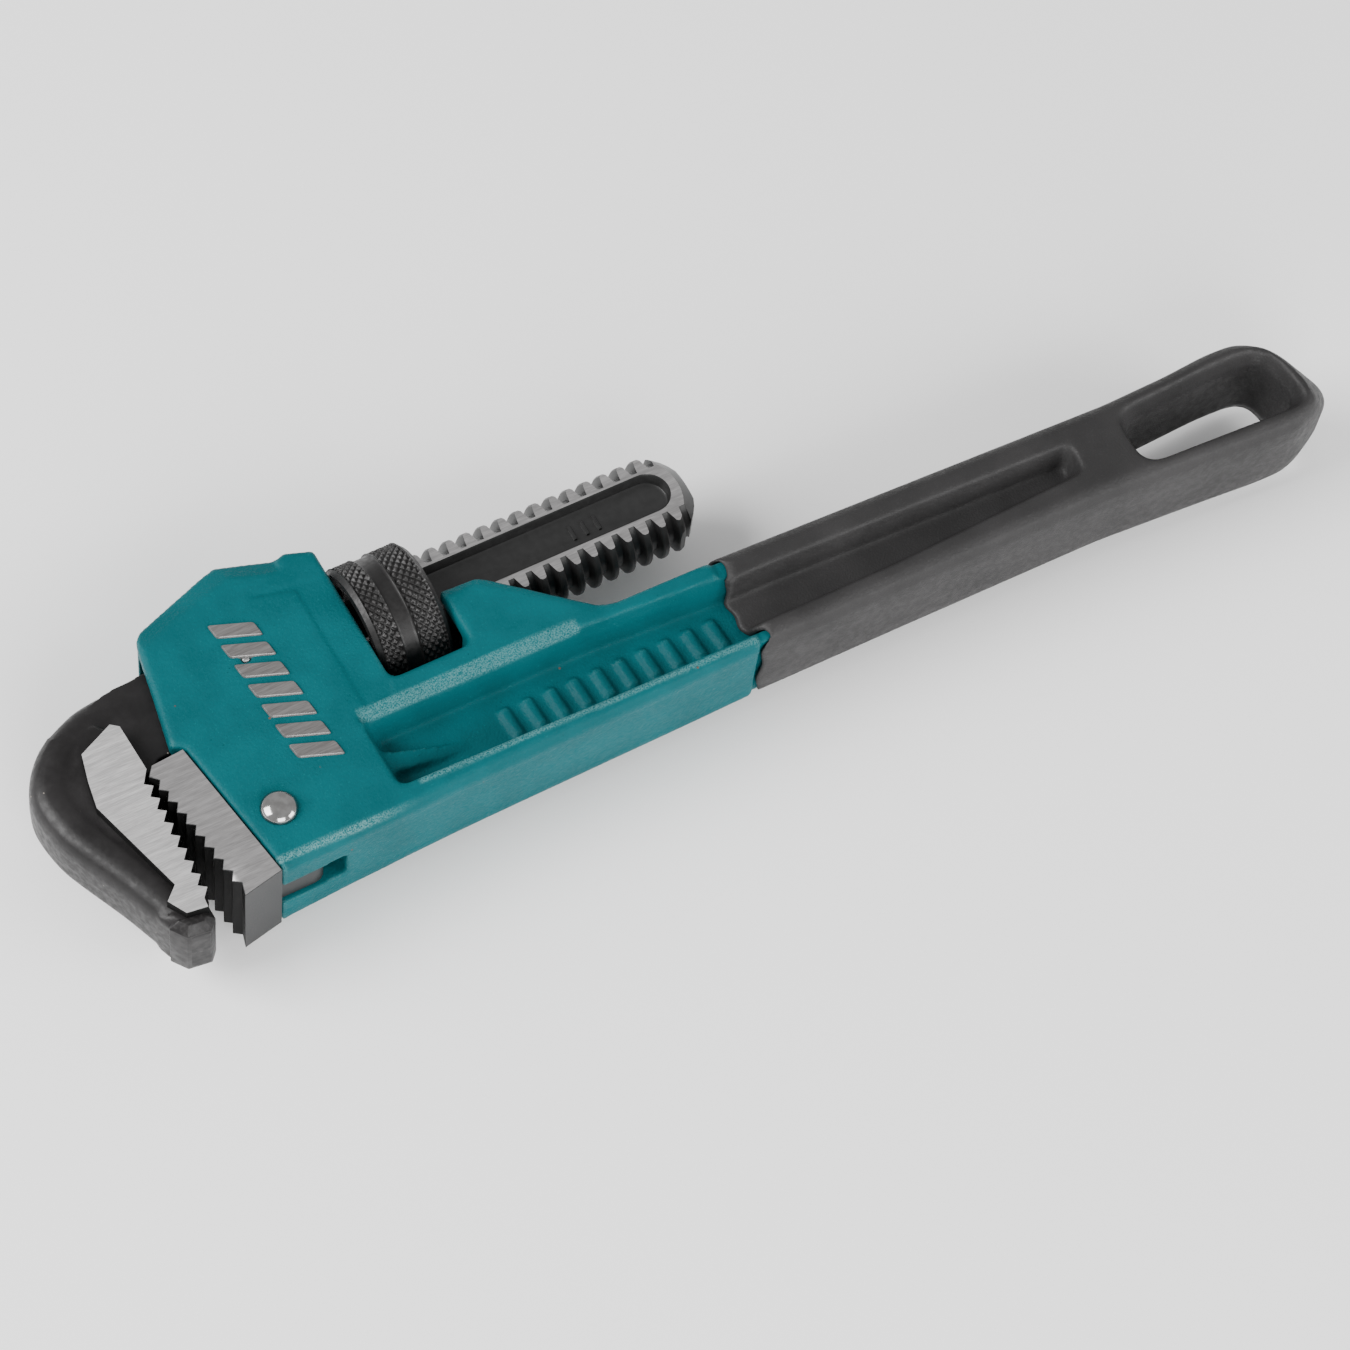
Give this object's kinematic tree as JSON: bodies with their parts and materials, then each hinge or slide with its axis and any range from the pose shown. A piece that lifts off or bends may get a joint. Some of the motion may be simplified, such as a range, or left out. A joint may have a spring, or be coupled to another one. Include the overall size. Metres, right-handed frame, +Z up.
{
  "type": "pipe wrench",
  "caption": "Adjustable pipe wrench with a screw-driven hook jaw, a pinned toothed heel jaw, a knurled nut and a dipped vinyl grip with a hang hole.",
  "frame": {"origin": "centre of the bounding box's footprint, on the surface the closed wrench lies on", "axes": "+X from the jaws along the shank's axis to the handle's end; +Y from the heel side to the shank side; +Z up, out of the flat side that faces up"},
  "size_m": [0.2606, 0.0648, 0.0265],
  "materials": {
    "enamelled_casting": "teal enamel over a sand-cast skin",
    "vinyl": "matte dipped vinyl",
    "blackened_steel": "satin blackened forging with ground faces",
    "ground_steel": "ground sides, dark end and teeth",
    "polished_steel": "polished rivet",
    "pin_steel": "plain",
    "black_oxide_steel": "black oxide, knurled",
    "spring_steel": "oiled spring steel",
    "coil_steel": "plain wire"
  },
  "bodies": {
    "handle": {"handle_body": "enamelled_casting", "grip_sleeve": "vinyl", "heel_jaw": "ground_steel", "heel_jaw_pin": "polished_steel", "shank_keeper_pin": "pin_steel"},
    "springs": {"flat_spring": "spring_steel", "coil_spring": "coil_steel"},
    "nut": {"adjusting_nut": "black_oxide_steel"},
    "jaw": {"hook_jaw": "blackened_steel"}
  },
  "joints": [
    {"name": "jaw_rock", "type": "hinge", "parent": "handle", "child": "springs", "pos_m": [-0.05505, 0.0126, 0.01323], "axis": [0, 0, -1], "range_deg": [0, 1.5], "stiffness_Nm_per_rad": 10, "springref_deg": -2.86, "deforming": ["flat_spring", "coil_spring"]},
    {"name": "nut_spin", "type": "hinge", "parent": "springs", "child": "nut", "pos_m": [-0.05505, 0.0126, 0.01323], "axis": [1, 0, 0], "range_deg": [0, 4505]},
    {"name": "jaw_slide", "type": "slide", "parent": "springs", "child": "jaw", "axis": [-1, 0, 0], "range_m": [0, 0.0454]}
  ],
  "couplings": [
    {"joint": "nut_spin", "follows": "jaw_slide", "rad_per_m": 1730.9}
  ]
}
